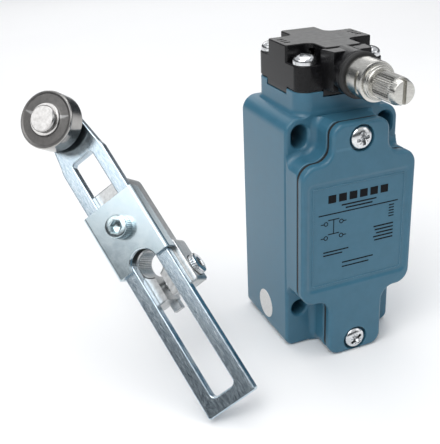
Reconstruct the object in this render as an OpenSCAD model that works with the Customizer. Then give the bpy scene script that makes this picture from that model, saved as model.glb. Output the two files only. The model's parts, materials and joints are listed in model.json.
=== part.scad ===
// Side-rotary limit switch with an adjustable roller lever.
// Origin: centre of the four fixing holes, on the flat mounting back.
// +Z up, the cover and the shaft face -Y. Millimetres.

/* [Housing] */
// Width of the die-cast housing
body_w = 40; // [40:0.5:44]
// Depth from the mounting back to the flange face
flange_d = 32; // [31:0.5:33]
// Depth from the mounting back to the raised cover seat
seat_d = 39; // [38.5:0.5:40]
// Height of the shoulders above the origin
shoulder_z = 36; // [35.5:0.5:37]
// Depth of the base below the origin
base_z = 44.2; // [43.8:0.1:46]
// Radius of the two shoulders
shoulder_r = 5; // [3:0.5:6]
// Diameter of the conduit entry at the thread's crest
conduit_d = 18.5; // [16:0.5:18.5]

/* [Fixing holes] */
// Distance between the holes across the switch
hole_dx = 30; // [30:0.5:31]
// Distance between the holes up the switch
hole_dz = 60; // [59:0.5:61]
// Diameter of the fixing holes
hole_d = 5.3; // [4.5:0.1:5.5]
// End to end length of the two upper slots
slot_len = 7.3; // [6.5:0.1:7.5]

/* [Cover] */
// Thickness of the cover
cover_t = 3; // [2.5:0.1:4]
// Thickness of the cover gasket
gasket_t = 1.2; // [0.8:0.1:1.5]
// Half width of the tabs that carry the cover screws
tab_hw = 9.8; // [9.5:0.1:10.5]
// Height of the upper cover screw
screw_top_z = 30.7; // [30:0.1:31]
// Height of the lower cover screw
screw_low_z = -39.7; // [-40:0.1:-39]

/* [Head] */
// Side of the square rotary head
head_w = 30; // [29.5:0.1:30.4]
// Height of the head's top above the origin
head_top = 56.2; // [56.2:0.1:58]
// Height of the shaft's axis above the origin
shaft_z = 49.3; // [49.1:0.1:49.4]
// Half width of the skirts that lock the head on the neck
skirt_hw = 6.8; // [6:0.1:7.2]

/* [Shaft] */
// Diameter of the serrated shaft end
shaft_d = 8; // [7.6:0.1:8]
// Distance from the mounting back to the shaft's tip
shaft_tip = 62.8; // [61:0.1:66]
// Number of grooves along the shaft end
grooves = 20; // [10:5:20]
// Travel of the plunger
plunger_travel = 2.6; // [2:0.1:2.6]

/* [Lever] */
// Distance from the hub's bore to the roller's axis
reach = 55.4; // [50:0.1:60]
// Overall length of the slotted arm from the roller's axis
arm_len = 105; // [95:0.5:110]
// Half width of the arm
arm_hw = 8.55; // [8:0.05:8.6]
// Thickness of the arm
arm_t = 3; // [2.5:0.1:3]
// Half width of the arm's slot
slot_hw = 4.15; // [3:0.05:4.5]
// Diameter of the roller
roller_d = 19; // [16:0.5:20]
// Width of the roller
roller_w = 7; // [6:0.5:8]

/* [Hidden] */
$fn = 64;

body_hw = body_w / 2;
back_t = 3;
head_y = -1.5 - head_w / 2;
neck_w = head_w + 0.4;
neck_top = 43.1;
notch_z = 41.3;
head_bottom = 43.6;
pocket_z = 51.2;
pocket_in = 6.3;
head_screw_at = 11;
cover_y = seat_d + gasket_t;
cover_front = cover_y + cover_t;
wide_top = 24.2;
wide_low = -23;
tab_top = shoulder_z;
cavity_hw = 17.3;
cavity_top = 21.5;
cavity_low = -20.5;
wiring_low = -32.5;
panel_hw = 17.3;
panel_low = -17.6;
panel_top = 17.9;
screw_recess_d = 8.4;
screw_recess = 1.7;
shaft_in_d = 6;
guide_d = 8;
head_screw_d = 3.9;
journal_d = shaft_d + 0.8;
bush_d = 12;
bush_in_d = 10.6;
bush_step = 37;
seal_y = 40;
seal_end = 42.2;
bush_end = 50;
collar_end = 52;
knurl_end = 60.6;
cam_r = 5.2;
plunger_top = shaft_z - cam_r - 0.3;
guide_z = 31;
carriage_top = 17.8;
contact_x = 11.3;
bridge_z = 7.7;
bridge_t = 1;
pad_up_z = 13.2;
pad_low_z = 0.5;
block_hw = 14.5;
block_top = 20.8;
block_low = -12;
block_front = 30;
block_screw_z = -8.5;
ground_x = 13;
ground_z = -16.5;
ground_boss = 2.5;
strip_t = 1;
contact_gap = 0.3;
contact_up_z = bridge_z + bridge_t + contact_gap + strip_t / 2;
contact_low_z = bridge_z - plunger_travel - contact_gap - strip_t / 2;
clamp_w = 5.6;
steel = [0.80, 0.81, 0.83];
paint = [0.22, 0.40, 0.50];
black = [0.10, 0.10, 0.11];
zinc = [0.70, 0.75, 0.78];
brass = [0.82, 0.68, 0.36];

// The lever lies beside the switch, propped on the corner of its arm.
lever_at = [-61.9, -21.5, -7.2];
lever_turn = [53.6, -36.9, -19.8];
play = 0.15;
arm_z = play;
arm_top = arm_z + arm_t;
bracket_z = arm_top + play;
bracket_t = 1.5;
bracket_hw = 9.9;
bracket_h = 23.4;
bracket_screw_y = 13.8;
hub_t = 10;
slit_hw = 1.1;
hub_hw = 8.4;
hub_top = 29.4;
hub_low = -12.6;
ear_hw = 10.3;
clamp_y = -7.5;
clamp_z = -5.6;
roller_z = 5.1;
pin_r = 3;
bush_r = 4.5;

// Points along an arc, from angle a0 to a1
function arc(cx, cy, r, a0, a1, n = 8) =
    [for (i = [0:n]) let (a = a0 + (a1 - a0) * i / n) [cx + r * cos(a), cy + r * sin(a)]];

// A list of points on the right, closed by its mirror image on the left
function both_sides(p) = concat(p, [for (i = [len(p) - 1:-1:0]) [-p[i][0], p[i][1]]]);

// Outline of the cover and its seat, grown by d: a wide middle with a tab above and below
function cover_points(d) =
    let (t = tab_hw + d, w = body_hw + d, rt = 4 + d, rf = 4.5 - d, rw = 5 + d,
         zt = tab_top + d, zu = wide_top + d, zl = wide_low - d, zb = -base_z - d)
    both_sides(concat(
        arc(t - rt, zt - rt, rt, 90, 0),
        arc(t + rf, zu + rf, rf, 180, 270),
        arc(w - rw, zu - rw, rw, 90, 0),
        arc(w - rw, zl + rw, rw, 0, -90),
        arc(t + rf, zl - rf, rf, 90, 180),
        arc(t - rt, zb + rt, rt, 0, -90)));

// Rectangle with rounded upper and lower corners
module panel_2d(hw, low, top, r_low, r_top) {
    polygon(both_sides(concat(
        arc(hw - r_top, top - r_top, r_top, 90, 0),
        arc(hw - r_low, low + r_low, r_low, 0, -90))));
}

// Square with rounded corners, centred
module square_2d(w, r) {
    panel_2d(w / 2, -w / 2, w / 2, r, r);
}

// Outline of the housing's chamber, shrunk by d
module cavity_2d(d, r) {
    panel_2d(cavity_hw - d, cavity_low + d, cavity_top - d, r, r);
}

// Stands an XZ outline up and extrudes it forwards, from depth y0 to y1
module forward(y0, y1) {
    translate([0, -y0, 0]) rotate([90, 0, 0]) linear_extrude(y1 - y0) children();
}

// Cylinder that points forwards, from depth y0 to y1
module peg(x, z, d, y0, y1) {
    translate([x, -y0, z]) rotate([90, 0, 0]) cylinder(d = d, h = y1 - y0);
}

// Box from one corner to the opposite one
module block(a, b) {
    translate(a) cube(b - a);
}

module at_corners(dx, dy) {
    for (sx = [-1, 1], sy = [-1, 1]) translate([sx * dx, sy * dy, 0]) children();
}

module at_head() {
    translate([0, head_y, 0]) children();
}

module at_lever() {
    translate(lever_at) rotate(lever_turn) children();
}

// Pan head with a cross recess, head up, standing on z = 0 with its shank below
module pan_screw(d, head_d, head_h, length) {
    difference() {
        union() {
            cylinder(d = head_d, h = head_h * 0.45);
            translate([0, 0, head_h * 0.45])
                cylinder(d1 = head_d, d2 = head_d * 0.62, h = head_h * 0.55);
            translate([0, 0, -length]) cylinder(d = d, h = length + 0.2);
        }
        for (a = [0, 90])
            rotate(a) translate([-head_d * 0.3, -head_d * 0.07, head_h * 0.45])
                cube([head_d * 0.6, head_d * 0.14, head_h]);
    }
}

// Socket head cap screw standing on z = 0 with its shank below
module cap_screw(d, head_d, head_h, key, length) {
    difference() {
        union() {
            cylinder(d = head_d, h = head_h);
            translate([0, 0, -length]) cylinder(d = d, h = length + 0.2);
        }
        translate([0, 0, head_h * 0.4]) cylinder(d = key / cos(30), h = head_h, $fn = 6);
    }
}

// Closed coils of round wire as a plain sleeve, from z0 to z1
module spring_sleeve(d, wire, z0, z1) {
    translate([0, 0, z0]) difference() {
        cylinder(d = d, h = z1 - z0);
        translate([0, 0, -1]) cylinder(d = d - 2 * wire, h = z1 - z0 + 2);
    }
}

// Two round holes low down and two upright slots above, right through the flange
module fixing_holes() {
    rise = (slot_len - hole_d) / 2;
    for (x = [-hole_dx / 2, hole_dx / 2]) {
        peg(x, -hole_dz / 2, hole_d, -1, flange_d + 1);
        for (e = [-1, 1])
            peg(x, hole_dz / 2 + e * rise, hole_d, -1, flange_d + 1);
        block([x - hole_d / 2, -flange_d - 1, hole_dz / 2 - rise],
              [x + hole_d / 2, 1, hole_dz / 2 + rise]);
    }
}

module housing() color(paint) {
    bore_d = 12;
    difference() {
        union() {
            forward(0, flange_d) panel_2d(body_hw, -base_z, shoulder_z, 3, shoulder_r);
            forward(flange_d - 1, seat_d) polygon(cover_points(0));
            at_head() translate([0, 0, shoulder_z - 8])
                linear_extrude(neck_top - shoulder_z + 8) square_2d(neck_w, 5);
        }
        // chamber for the contact block and the wires, open at the front
        forward(back_t, seat_d + 1) cavity_2d(0, 2);
        forward(seat_d - 9, seat_d + 1) panel_2d(7.5, wiring_low, cavity_low + 5, 2, 1);
        forward(back_t, seat_d - 8) panel_2d(10, wiring_low, cavity_low + 5, 0.7, 1);
        forward(9, 24) panel_2d(7.5, cavity_top - 5, 26.5, 1, 1);
        translate([0, -16, -base_z - 1]) cylinder(d = conduit_d, h = 20);
        fixing_holes();
        for (z = [screw_top_z, screw_low_z])
            peg(0, z, 4.6, seat_d - 12, seat_d + 1);
        // neck: plunger bore, skirt notches and head screw holes
        at_head() {
            translate([0, 0, guide_z]) cylinder(d = bore_d, h = 20);
            translate([0, 0, 20]) cylinder(d = guide_d, h = 20);
            for (a = [0:90:270])
                rotate(a) block([neck_w / 2 - 3.2, -skirt_hw - 0.2, notch_z],
                                [neck_w / 2 + 1, skirt_hw + 0.2, neck_top + 1]);
            at_corners(head_screw_at, head_screw_at)
                translate([0, 0, neck_top - 7]) cylinder(d = head_screw_d, h = 8);
        }
        for (x = [-contact_x, contact_x])
            peg(x, block_screw_z, 3, 1, back_t + 1);
        peg(ground_x, ground_z, 4, 1, back_t + 4);
    }
    difference() {
        peg(ground_x, ground_z, 7.6, back_t - 0.5, back_t + ground_boss);
        peg(ground_x, ground_z, 4, 1, back_t + 4);
    }
}

// Front plate with a locating rim inside, a sunk panel and two counterbored screw holes
module cover() color(paint) {
    rim_t = 1.4;
    rim_gap = 0.5;
    rim_depth = 2.4;
    difference() {
        union() {
            forward(cover_y, cover_front) polygon(cover_points(0));
            difference() {
                forward(cover_y - rim_depth, cover_y + 0.5) cavity_2d(rim_gap, 2);
                forward(cover_y - rim_depth - 1, cover_y) cavity_2d(rim_gap + rim_t, 1);
            }
        }
        forward(cover_front - 0.5, cover_front + 1)
            panel_2d(panel_hw, panel_low, panel_top, 1.2, 1.2);
        for (z = [screw_top_z, screw_low_z]) {
            peg(0, z, 4.4, cover_y - 1, cover_front + 1);
            peg(0, z, screw_recess_d, cover_front - screw_recess, cover_front + 1);
        }
    }
}

module cover_gasket() color(black) {
    difference() {
        forward(seat_d, cover_y) polygon(cover_points(-0.35));
        forward(seat_d - 1, cover_y + 1) cavity_2d(0.3, 2);
        for (z = [screw_top_z, screw_low_z])
            peg(0, z, 4.8, seat_d - 1, cover_y + 1);
    }
}

module cover_screws() color(steel) {
    for (z = [screw_top_z, screw_low_z])
        translate([0, screw_recess - cover_front, z])
            rotate([90, 0, 0]) pan_screw(4, 7.4, 2.5, 12);
}

// Square turning head with four corner pockets, locking skirts and a boss for the shaft
module head() color(black) {
    hole_d = 4.4;
    difference() {
        union() {
            at_head() {
                translate([0, 0, head_bottom])
                    linear_extrude(head_top - head_bottom) square_2d(head_w, 4);
                for (a = [0:90:270])
                    rotate(a) block([head_w / 2 - 2.6, -skirt_hw, notch_z + 0.2],
                                    [head_w / 2, skirt_hw, head_bottom + 1]);
            }
            peg(0, shaft_z, 13.8, 30, seal_y);
            hull() {
                block([-6.5, -32, shaft_z - 5.5], [6.5, -31, head_top]);
                peg(0, shaft_z, 13.6, seal_y - 3, seal_y - 2);
            }
        }
        at_head() {
            at_corners(pocket_in + 10, pocket_in + 10)
                translate([0, 0, pocket_z]) linear_extrude(10) square_2d(20, 3);
            at_corners(head_screw_at, head_screw_at) cylinder(d = hole_d, h = 80);
        }
        // cam chamber and the shaft's bearings
        block([-7.5, -25, head_bottom - 1], [7.5, -9, 54.8]);
        peg(0, shaft_z, shaft_in_d + 0.1, 4, 12);
        peg(0, shaft_z, bush_in_d, 24, bush_step + 1);
        peg(0, shaft_z, bush_d, bush_step, seal_y + 1);
    }
}

module head_gasket() color(black) {
    at_head() translate([0, 0, neck_top])
        linear_extrude(head_bottom - neck_top) difference() {
            square_2d(head_w - 0.6, 4);
            circle(d = 13);
            for (a = [0:90:270])
                rotate(a) translate([head_w / 2 - 3.3, -skirt_hw - 0.3])
                    square([5, 2 * skirt_hw + 0.6]);
            at_corners(head_screw_at, head_screw_at) circle(d = 4.4);
        }
}

module head_screws() color(steel) {
    at_head() at_corners(head_screw_at, head_screw_at)
        translate([0, 0, pocket_z]) rotate(20) pan_screw(head_screw_d, 7.4, 2.9, 14);
}

module shaft_bush() color(steel) {
    difference() {
        union() {
            peg(0, shaft_z, bush_in_d, 25, bush_step + 1);
            peg(0, shaft_z, bush_d, bush_step, bush_end);
        }
        peg(0, shaft_z, journal_d + 0.1, 24, bush_end + 1);
    }
}

module shaft_seal() color(black) {
    difference() {
        peg(0, shaft_z, 14.2, seal_y, seal_end);
        peg(0, shaft_z, bush_d, seal_y - 1, seal_end + 1);
    }
}

// Turned shaft: a journal behind the cam, a serrated end and a slotted tip
module shaft() color(steel) {
    groove_w = 0.25;
    groove_deep = 0.25;
    slot_w = 1.2;
    difference() {
        union() {
            peg(0, shaft_z, shaft_in_d, 4.2, 25);
            peg(0, shaft_z, journal_d, 24.9, collar_end);
            peg(0, shaft_z, shaft_d, collar_end - 1, knurl_end);
            translate([0, -knurl_end, shaft_z]) rotate([90, 0, 0])
                cylinder(d1 = shaft_d, d2 = shaft_d - 1.4, h = shaft_tip - knurl_end);
        }
        for (i = [0:grooves - 1])
            translate([0, 0, shaft_z]) rotate([0, (i + 0.5) * 360 / grooves, 0])
                block([shaft_d / 2 - groove_deep, -knurl_end - 1, -groove_w / 2],
                      [shaft_d, -collar_end - 0.6, groove_w / 2]);
        block([-slot_w / 2, -shaft_tip - 1, shaft_z - 5], [slot_w / 2, 1.6 - shaft_tip, shaft_z + 5]);
    }
}

module thrust_collar() color(steel) {
    difference() {
        peg(0, shaft_z, 10, bush_end + 0.1, collar_end);
        peg(0, shaft_z, journal_d, bush_end - 1, collar_end + 1);
    }
}

module retaining_ring() color(steel) {
    difference() {
        peg(0, shaft_z, 9, 9.4, 10.2);
        peg(0, shaft_z, shaft_in_d, 9, 11);
        block([-2.4, -11, shaft_z], [2.4, -9, shaft_z + 6]);
    }
}

module cam() color(steel) {
    flat_at = 3.9;
    difference() {
        peg(0, shaft_z, 2 * cam_r, 12, 21);
        peg(0, shaft_z, shaft_in_d, 11, 22);
        block([-cam_r - 1, -22, shaft_z - cam_r - 1], [cam_r + 1, -11, shaft_z - flat_at]);
    }
}

module plunger() color(steel) {
    at_head() {
        translate([0, 0, plunger_top - 2.4]) cylinder(d = 11, h = 2.4);
        translate([0, 0, carriage_top + 0.3]) cylinder(d = 5, h = plunger_top - carriage_top - 2);
    }
}

module plunger_guide() color(brass) {
    at_head() difference() {
        union() {
            translate([0, 0, 26.5]) cylinder(d = guide_d, h = guide_z - 26.5);
            translate([0, 0, guide_z]) cylinder(d = 11.4, h = 1);
        }
        translate([0, 0, 20]) cylinder(d = 5.1, h = 20);
    }
}

module return_spring() color(steel) {
    at_head() spring_sleeve(9, 1, guide_z + 1, plunger_top - 2.5);
}

module contact_base() color([0.86, 0.84, 0.76]) {
    difference() {
        forward(back_t, block_front) panel_2d(block_hw, block_low, block_top, 1, 1);
        // carriage chamber, open at the front, with the plunger's way in above it
        block([-5.5, -block_front - 1, -9], [5.5, -8, 18.3]);
        at_head() translate([0, 0, 15]) cylinder(d = 6, h = 10);
        // channels and screw holes for the fixed contacts
        for (s = [0, 1])
            mirror([s, 0, 0]) {
                for (z = [contact_up_z, contact_low_z])
                    block([2.9, -block_front - 1, z - strip_t / 2], [13, -18, z + strip_t / 2]);
                for (z = [pad_up_z, pad_low_z])
                    peg(contact_x, z, 3.4, 22, block_front + 1);
                peg(contact_x, block_screw_z, 3.2, 0, block_front + 1);
            }
    }
}

module contact_lid() color([0.30, 0.30, 0.32]) {
    difference() {
        forward(block_front, block_front + 1.5)
            panel_2d(7.6, block_low + 0.5, block_top - 0.5, 1, 1);
        for (z = [-4:4:16])
            block([-4, -block_front - 2, z], [4, -block_front - 1, z + 1]);
    }
}

// One strip: a blade at height z in the base, and a terminal pad round pad_z in front of it
module contact_strip(z, pad_z) {
    reach_z = pad_z + sign(pad_z - z) * 4.2;
    difference() {
        union() {
            block([3, -block_front, z - strip_t / 2], [13, -18, z + strip_t / 2]);
            block([8.3, -block_front - strip_t, min(z, reach_z) - strip_t / 2],
                  [14.3, -block_front, max(z, reach_z) + strip_t / 2]);
        }
        peg(contact_x, pad_z, 3.6, block_front - 1, block_front + 3);
    }
}

module fixed_contacts() color(brass) {
    for (s = [0, 1])
        mirror([s, 0, 0]) {
            contact_strip(contact_up_z, pad_up_z);
            contact_strip(contact_low_z, pad_low_z);
        }
}

module terminal_clamps() color(zinc) {
    front = block_front + strip_t;
    for (x = [-contact_x, contact_x], z = [pad_up_z, pad_low_z])
        difference() {
            block([x - clamp_w / 2, -front - 1, z - clamp_w / 2],
                  [x + clamp_w / 2, -front, z + clamp_w / 2]);
            peg(x, z, 3.6, block_front, block_front + 4);
        }
}

module terminal_screws() color(steel) {
    for (x = [-contact_x, contact_x], z = [pad_up_z, pad_low_z])
        translate([x, -block_front - strip_t - 1, z])
            rotate([90, 0, 0]) pan_screw(3.4, 5.6, 2.2, 9);
}

module block_screws() color(steel) {
    for (x = [-contact_x, contact_x])
        translate([x, -block_front, block_screw_z])
            rotate([90, 0, 0]) pan_screw(3, 5.4, 2, 28.5);
}

module ground_screw() color([0.35, 0.60, 0.38]) {
    translate([ground_x, -back_t - ground_boss, ground_z])
        rotate([90, 0, 0]) pan_screw(4, 7, 2.4, 4);
}

module contact_carriage() color([0.25, 0.25, 0.27]) {
    difference() {
        block([-2.4, -27, 1], [2.4, -12, carriage_top]);
        block([-3, -24.4, 3], [3, -19.6, 9.6]);
    }
}

module contact_bridge() color(brass) {
    block([-5.2, -24, bridge_z], [5.2, -20, bridge_z + bridge_t]);
}

module contact_spring() color(steel) {
    translate([0, -22, 0]) spring_sleeve(4, 0.5, 3, bridge_z);
}

module carriage_spring() color(steel) {
    translate([0, -18, 0]) spring_sleeve(4.5, 0.6, -9, 0.9);
}

module inspection_sticker() color("white") {
    translate([-body_hw - 0.15, -16.3, -35.6]) rotate([0, 90, 0]) cylinder(d = 10.2, h = 0.15);
}

// Split hub: the shaft's bore, the slit and the clamping screw's hole across it
module lever_hub() color(zinc) at_lever() difference() {
    union() {
        translate([0, 0, -hub_t]) linear_extrude(hub_t) panel_2d(hub_hw, hub_low, hub_top, 1, 3);
        translate([0, 0, -hub_t]) linear_extrude(hub_t - 1.3) panel_2d(ear_hw, hub_low, 3, 1, 1.5);
        block([-4.4, hub_low - 3, -hub_t], [-1.3, hub_low + 1, -hub_t + 3]);
    }
    translate([0, 0, -hub_t - 1]) cylinder(d = shaft_d + 0.1, h = hub_t + 2);
    block([-slit_hw, hub_low - 1, -hub_t - 1], [slit_hw, -2, 1]);
    translate([-20, clamp_y, clamp_z]) rotate([0, 90, 0]) cylinder(d = 4, h = 40);
    translate([ear_hw - 2, clamp_y, clamp_z]) rotate([0, 90, 0]) cylinder(d = 7.6, h = 10);
    block([-ear_hw - 1, clamp_y - 3.6, clamp_z - 3.6],
          [-ear_hw + 3.3, clamp_y + 3.6, clamp_z + 3.6]);
    translate([0, bracket_screw_y, -7.5]) cylinder(d = 5, h = 10);
}

module clamp_screw() color(steel) at_lever() {
    translate([ear_hw - 2, clamp_y, clamp_z]) rotate([0, 90, 0]) cap_screw(4, 7, 4, 3, 18);
}

module clamp_nut() color(steel) at_lever() difference() {
    block([-ear_hw + 0.1, clamp_y - 3.5, clamp_z - 3.5],
          [-ear_hw + 3.3, clamp_y + 3.5, clamp_z + 3.5]);
    translate([-20, clamp_y, clamp_z]) rotate([0, 90, 0]) cylinder(d = 4, h = 40);
}

module clamp_bracket() color(zinc) at_lever() difference() {
    union() {
        block([-bracket_hw, 0.1, bracket_z], [bracket_hw, bracket_h, bracket_z + bracket_t]);
        for (s = [0, 1]) mirror([s, 0, 0])
            block([arm_hw + 0.25, 0.1, -1], [bracket_hw, bracket_h, bracket_z + bracket_t]);
    }
    cylinder(d = 9.4, h = 20);
    translate([0, bracket_screw_y, 0]) cylinder(d = 5.2, h = 20);
}

module bracket_screw() color(steel) at_lever() {
    translate([0, bracket_screw_y, bracket_z + bracket_t]) cap_screw(5, 7.4, 4, 3.4, 11.5);
}

module lever_arm() color(zinc) at_lever() {
    end_y = reach - arm_len;
    taper_y = reach - 14;
    tip_r = 6.2;
    translate([0, 0, arm_z]) linear_extrude(arm_t) difference() {
        polygon(both_sides(concat(
            arc(0, reach, tip_r, 90, 12),
            [[arm_hw, taper_y]],
            arc(arm_hw - 0.8, end_y + 0.8, 0.8, 0, -90, 4))));
        panel_2d(slot_hw, end_y + 4.6, taper_y, 1.6, 1.2);
        translate([0, reach]) circle(r = pin_r);
    }
}

module roller_pin() color(steel) at_lever() translate([0, reach, 0]) {
    head_z = roller_z + roller_w + 0.7;
    translate([0, 0, arm_z]) cylinder(r = pin_r, h = head_z - arm_z);
    translate([0, 0, head_z]) cylinder(r = 4.4, h = 0.9);
    translate([0, 0, head_z + 0.9]) cylinder(r1 = 4.4, r2 = 3.9, h = 0.5);
}

module roller_washer() color(black) at_lever() translate([0, reach, arm_top]) difference() {
    cylinder(r = 6, h = roller_z - arm_top - 0.1);
    translate([0, 0, -1]) cylinder(r = pin_r, h = 5);
}

module roller() color([0.30, 0.30, 0.31]) at_lever() translate([0, reach, roller_z]) difference() {
    cylinder(d = roller_d, h = roller_w);
    translate([0, 0, -1]) cylinder(r = bush_r, h = roller_w + 2);
}

module roller_bush() color(brass) at_lever() translate([0, reach, roller_z]) difference() {
    union() {
        cylinder(r = bush_r, h = roller_w);
        translate([0, 0, roller_w]) cylinder(r = 5.3, h = 0.6);
    }
    translate([0, 0, -1]) cylinder(r = pin_r + 0.05, h = roller_w + 3);
}

housing();
cover();
cover_gasket();
cover_screws();
head();
head_gasket();
head_screws();
shaft_bush();
shaft_seal();
shaft();
thrust_collar();
retaining_ring();
cam();
plunger();
plunger_guide();
return_spring();
contact_base();
contact_lid();
fixed_contacts();
terminal_clamps();
terminal_screws();
block_screws();
ground_screw();
contact_carriage();
contact_bridge();
contact_spring();
carriage_spring();
inspection_sticker();
lever_hub();
clamp_screw();
clamp_nut();
clamp_bracket();
bracket_screw();
lever_arm();
roller_pin();
roller_washer();
roller();
roller_bush();
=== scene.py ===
import json
import math

import bpy
import bmesh
from mathutils import Matrix, Vector
from mathutils.geometry import delaunay_2d_cdt


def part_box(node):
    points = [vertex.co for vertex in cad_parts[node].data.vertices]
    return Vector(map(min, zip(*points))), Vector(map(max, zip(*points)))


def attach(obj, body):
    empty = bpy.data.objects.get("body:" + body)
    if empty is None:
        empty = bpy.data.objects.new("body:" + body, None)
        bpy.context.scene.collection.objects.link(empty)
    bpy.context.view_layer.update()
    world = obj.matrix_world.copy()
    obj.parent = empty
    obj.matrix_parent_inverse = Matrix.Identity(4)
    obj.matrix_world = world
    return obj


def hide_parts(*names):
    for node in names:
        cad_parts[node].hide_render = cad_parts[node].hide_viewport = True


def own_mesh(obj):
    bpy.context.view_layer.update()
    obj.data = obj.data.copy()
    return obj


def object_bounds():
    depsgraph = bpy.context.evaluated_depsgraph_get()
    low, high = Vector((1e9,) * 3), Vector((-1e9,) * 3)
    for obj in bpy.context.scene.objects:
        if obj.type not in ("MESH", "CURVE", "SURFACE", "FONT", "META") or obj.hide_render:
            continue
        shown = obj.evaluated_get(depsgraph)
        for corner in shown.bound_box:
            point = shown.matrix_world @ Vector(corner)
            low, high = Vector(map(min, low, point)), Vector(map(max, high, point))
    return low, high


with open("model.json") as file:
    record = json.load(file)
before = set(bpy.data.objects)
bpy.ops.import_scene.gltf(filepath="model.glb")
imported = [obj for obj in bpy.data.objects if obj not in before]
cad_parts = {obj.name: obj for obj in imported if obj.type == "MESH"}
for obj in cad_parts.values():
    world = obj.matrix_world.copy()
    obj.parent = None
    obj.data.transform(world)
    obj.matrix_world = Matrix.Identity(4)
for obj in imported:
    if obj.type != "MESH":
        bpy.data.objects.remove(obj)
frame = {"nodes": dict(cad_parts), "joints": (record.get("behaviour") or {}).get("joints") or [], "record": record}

CAD_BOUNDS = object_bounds()
MM = 0.001

# ---------------------------------------------------------------- places from the frame (millimetres)
JOINTS = {j["name"]: j for j in frame["joints"]}
MOUNTS = {m["name"]: m for m in frame["record"]["mounts"]}


def box_mm(node):
    low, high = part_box(node)
    return low / MM, high / MM


HOUSING_LOW, HOUSING_HIGH = box_mm("housing")
COVER_LOW, COVER_HIGH = box_mm("cover")
BODY_HW = HOUSING_HIGH.x
BASE_Z = HOUSING_LOW.z
NECK_TOP = HOUSING_HIGH.z
SHOULDER_Z = COVER_HIGH.z
SEAT_Y = -HOUSING_LOW.y
COVER_FRONT = -COVER_LOW.y
FLANGE_Y = 32.0
COVER_T = 3.0
COVER_BACK = COVER_FRONT - COVER_T
SHAFT_Z = JOINTS["shaft_turn"]["pos_m"][2] / MM
HEAD_Y = -16.5
HEAD_TOP = box_mm("head")[1].z
HEAD_H = 12.6
HEAD_BOTTOM = HEAD_TOP - HEAD_H
POCKET_FLOOR = 51.2
HEAD_SCREW_AT = 11.0
COVER_SCREWS_Z = (30.7, -39.7)
HOLE_X = 15.0
HOLE_Z = 30.0
HOLE_R = 2.65

LEVER_N = Vector(JOINTS["roller_spin"]["axis"]).normalized()
LEVER_U = Vector(JOINTS["arm_extension"]["axis"]).normalized()
LEVER_W = LEVER_U.cross(LEVER_N)
HUB_T = 10.0
ROLLER_Y = 55.4
LEVER_AT = Vector(MOUNTS["hub_bore"]["pos_m"]) + LEVER_N * (HUB_T / 2 * MM)
LEVER = Matrix.Translation(LEVER_AT) @ Matrix(
    [[LEVER_W[i], LEVER_U[i], LEVER_N[i]] for i in range(3)]
).to_4x4()
FORWARD = Matrix(((1, 0, 0, 0), (0, 0, -1, 0), (0, 1, 0, 0), (0, 0, 0, 1)))
UPRIGHT = Matrix.Identity(4)
ALONG_X = Matrix.Rotation(math.radians(90), 4, "Y")


# ---------------------------------------------------------------- outlines (2D points, millimetres)
def arc(cx, cy, r, start, end, steps=8):
    """Points along an arc between two angles in degrees."""
    points = []
    for i in range(steps + 1):
        a = math.radians(start + (end - start) * i / steps)
        points.append((cx + r * math.cos(a), cy + r * math.sin(a)))
    return points


def both_sides(points):
    """Closes a right-hand outline with its mirror image."""
    return points + [(-x, y) for x, y in reversed(points)]


def tidy(outline):
    """Drops repeated points and runs the outline anticlockwise."""
    points = []
    for p in outline:
        if not points or math.dist(p, points[-1]) > 1e-4:
            points.append(p)
    if math.dist(points[0], points[-1]) <= 1e-4:
        points.pop()
    area = sum(a[0] * b[1] - b[0] * a[1] for a, b in zip(points, points[1:] + points[:1]))
    return points if area > 0 else points[::-1]


def grown(outline, d):
    """The outline moved outwards by d."""
    moved = []
    for i, p in enumerate(outline):
        q, r = outline[i - 1], outline[(i + 1) % len(outline)]
        a = Vector((p[1] - q[1], q[0] - p[0])).normalized()
        b = Vector((r[1] - p[1], p[0] - r[0])).normalized()
        m = (a + b) / (1 + a.dot(b))
        moved.append((p[0] + m.x * d, p[1] + m.y * d))
    return moved


def panel(hw, low, top, r_low, r_top, steps=8):
    return tidy(both_sides(
        arc(hw - r_top, top - r_top, r_top, 90, 0, steps)
        + arc(hw - r_low, low + r_low, r_low, 0, -90, steps)))


def square(width, r, steps=8):
    return panel(width / 2, -width / 2, width / 2, r, r, steps)


def circle(r, cx=0.0, cy=0.0, steps=48):
    return tidy(arc(cx, cy, r, 0, 360, steps))


def slot_outline(r, cx, cy, rise):
    return tidy(arc(cx, cy + rise, r, 0, 180, 16) + arc(cx, cy - rise, r, 180, 360, 16))


def cover_outline(d=0.0):
    """Outline of the cover and its seat: a wide middle with a tab above and below."""
    t, w = 9.8 + d, BODY_HW + d
    tip, fillet, corner = 4 + d, 4.5 - d, 5 + d
    return tidy(both_sides(
        arc(t - tip, SHOULDER_Z + d - tip, tip, 90, 0, 12)
        + arc(t + fillet, 24.2 + d + fillet, fillet, 180, 270, 12)
        + arc(w - corner, 24.2 + d - corner, corner, 90, 0, 12)
        + arc(w - corner, -23 - d + corner, corner, 0, -90, 12)
        + arc(t + fillet, -23 - d - fillet, fillet, 90, 180, 12)
        + arc(t - tip, BASE_Z - d + tip, tip, 0, -90, 12)))


# ---------------------------------------------------------------- meshes
def new_object(name, verts, faces, matrix=UPRIGHT):
    """An object from millimetre points given in the frame of matrix, whose translation is in metres."""
    mesh = bpy.data.meshes.new(name)
    mesh.from_pydata([Vector(v) * MM for v in verts], [], faces)
    mesh.update()
    obj = bpy.data.objects.new(name, mesh)
    obj.matrix_world = matrix
    bpy.context.scene.collection.objects.link(obj)
    return obj


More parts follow.
